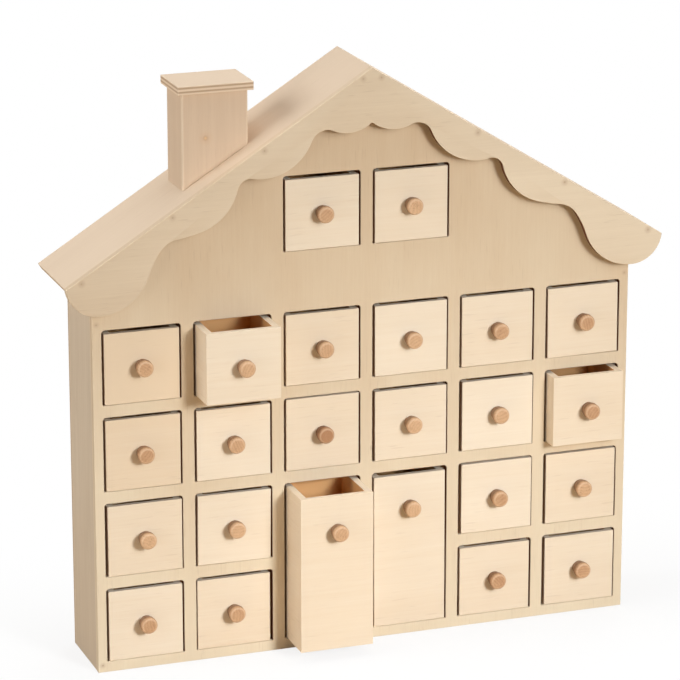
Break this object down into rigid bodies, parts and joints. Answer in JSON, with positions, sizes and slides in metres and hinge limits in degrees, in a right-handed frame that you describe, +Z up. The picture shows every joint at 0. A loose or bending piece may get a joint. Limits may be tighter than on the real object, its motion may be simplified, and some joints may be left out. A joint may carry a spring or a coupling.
{
  "type": "advent calendar",
  "caption": "House-shaped plywood advent calendar with a scalloped gable, a chimney and a grid of small sliding drawers, each with a round wooden knob.",
  "frame": {"origin": "middle of the underside of the case, halfway between its front and back panels", "axes": "+X to the right seen from the front, +Y from the front to the back, +Z up"},
  "size_m": [0.3412, 0.0793, 0.3271],
  "materials": {
    "front_ply": "unfinished plywood, upright grain, fine sanded",
    "fascia_ply": "unfinished plywood, level grain, scroll-sawn edge",
    "roof_ply": "unfinished plywood, faint grain down the slope",
    "chimney_wood": "unfinished wood, sanded",
    "case_ply": "unfinished plywood",
    "drawer_ply": "unfinished pale plywood, fine sanded",
    "knob_beech": "turned beech, unfinished"
  },
  "bodies": {
    "house": {"front_panel": "front_ply", "back_panel": "case_ply", "left_wall": "case_ply", "right_wall": "case_ply", "floor_panel": "case_ply", "roof_left": "roof_ply", "roof_right": "roof_ply", "fascia": "fascia_ply", "chimney": "chimney_wood", "chimney_cap": "roof_ply", "shelves": "case_ply", "dividers": "case_ply"},
    "drawer_01": {"drawer_01": "drawer_ply", "knob_01": "knob_beech"},
    "drawer_02": {"drawer_02": "drawer_ply", "knob_02": "knob_beech"},
    "drawer_03": {"drawer_03": "drawer_ply", "knob_03": "knob_beech"},
    "drawer_04": {"drawer_04": "drawer_ply", "knob_04": "knob_beech"},
    "drawer_05": {"drawer_05": "drawer_ply", "knob_05": "knob_beech"},
    "drawer_06": {"drawer_06": "drawer_ply", "knob_06": "knob_beech"},
    "drawer_07": {"drawer_07": "drawer_ply", "knob_07": "knob_beech"},
    "drawer_08": {"drawer_08": "drawer_ply", "knob_08": "knob_beech"},
    "drawer_09": {"drawer_09": "drawer_ply", "knob_09": "knob_beech"},
    "drawer_10": {"drawer_10": "drawer_ply", "knob_10": "knob_beech"},
    "drawer_11": {"drawer_11": "drawer_ply", "knob_11": "knob_beech"},
    "drawer_12": {"drawer_12": "drawer_ply", "knob_12": "knob_beech"},
    "drawer_13": {"drawer_13": "drawer_ply", "knob_13": "knob_beech"},
    "drawer_14": {"drawer_14": "drawer_ply", "knob_14": "knob_beech"},
    "drawer_15": {"drawer_15": "drawer_ply", "knob_15": "knob_beech"},
    "drawer_16": {"drawer_16": "drawer_ply", "knob_16": "knob_beech"},
    "drawer_17": {"drawer_17": "drawer_ply", "knob_17": "knob_beech"},
    "drawer_18": {"drawer_18": "drawer_ply", "knob_18": "knob_beech"},
    "drawer_19": {"drawer_19": "drawer_ply", "knob_19": "knob_beech"},
    "drawer_20": {"drawer_20": "drawer_ply", "knob_20": "knob_beech"},
    "drawer_21": {"drawer_21": "drawer_ply", "knob_21": "knob_beech"},
    "drawer_22": {"drawer_22": "drawer_ply", "knob_22": "knob_beech"},
    "drawer_23": {"drawer_23": "drawer_ply", "knob_23": "knob_beech"},
    "drawer_24": {"drawer_24": "drawer_ply", "knob_24": "knob_beech"}
  },
  "joints": [
    {"name": "slide_01", "type": "slide", "parent": "house", "child": "drawer_01", "axis": [0, -1, 0], "range_m": [0, 0.04]},
    {"name": "slide_02", "type": "slide", "parent": "house", "child": "drawer_02", "axis": [0, -1, 0], "range_m": [0, 0.04]},
    {"name": "slide_03", "type": "slide", "parent": "house", "child": "drawer_03", "axis": [0, -1, 0], "range_m": [0, 0.04]},
    {"name": "slide_04", "type": "slide", "parent": "house", "child": "drawer_04", "axis": [0, -1, 0], "range_m": [-0.019, 0.021]},
    {"name": "slide_05", "type": "slide", "parent": "house", "child": "drawer_05", "axis": [0, -1, 0], "range_m": [0, 0.04]},
    {"name": "slide_06", "type": "slide", "parent": "house", "child": "drawer_06", "axis": [0, -1, 0], "range_m": [0, 0.04]},
    {"name": "slide_07", "type": "slide", "parent": "house", "child": "drawer_07", "axis": [0, -1, 0], "range_m": [0, 0.04]},
    {"name": "slide_08", "type": "slide", "parent": "house", "child": "drawer_08", "axis": [0, -1, 0], "range_m": [0, 0.04]},
    {"name": "slide_09", "type": "slide", "parent": "house", "child": "drawer_09", "axis": [0, -1, 0], "range_m": [0, 0.04]},
    {"name": "slide_10", "type": "slide", "parent": "house", "child": "drawer_10", "axis": [0, -1, 0], "range_m": [0, 0.04]},
    {"name": "slide_11", "type": "slide", "parent": "house", "child": "drawer_11", "axis": [0, -1, 0], "range_m": [0, 0.04]},
    {"name": "slide_12", "type": "slide", "parent": "house", "child": "drawer_12", "axis": [0, -1, 0], "range_m": [0, 0.04]},
    {"name": "slide_13", "type": "slide", "parent": "house", "child": "drawer_13", "axis": [0, -1, 0], "range_m": [0, 0.04]},
    {"name": "slide_14", "type": "slide", "parent": "house", "child": "drawer_14", "axis": [0, -1, 0], "range_m": [-0.01, 0.03]},
    {"name": "slide_15", "type": "slide", "parent": "house", "child": "drawer_15", "axis": [0, -1, 0], "range_m": [0, 0.04]},
    {"name": "slide_16", "type": "slide", "parent": "house", "child": "drawer_16", "axis": [0, -1, 0], "range_m": [0, 0.04]},
    {"name": "slide_17", "type": "slide", "parent": "house", "child": "drawer_17", "axis": [0, -1, 0], "range_m": [-0.024, 0.016]},
    {"name": "slide_18", "type": "slide", "parent": "house", "child": "drawer_18", "axis": [0, -1, 0], "range_m": [0, 0.04]},
    {"name": "slide_19", "type": "slide", "parent": "house", "child": "drawer_19", "axis": [0, -1, 0], "range_m": [0, 0.04]},
    {"name": "slide_20", "type": "slide", "parent": "house", "child": "drawer_20", "axis": [0, -1, 0], "range_m": [0, 0.04]},
    {"name": "slide_21", "type": "slide", "parent": "house", "child": "drawer_21", "axis": [0, -1, 0], "range_m": [0, 0.04]},
    {"name": "slide_22", "type": "slide", "parent": "house", "child": "drawer_22", "axis": [0, -1, 0], "range_m": [0, 0.04]},
    {"name": "slide_23", "type": "slide", "parent": "house", "child": "drawer_23", "axis": [0, -1, 0], "range_m": [0, 0.04]},
    {"name": "slide_24", "type": "slide", "parent": "house", "child": "drawer_24", "axis": [0, -1, 0], "range_m": [0, 0.04]}
  ]
}
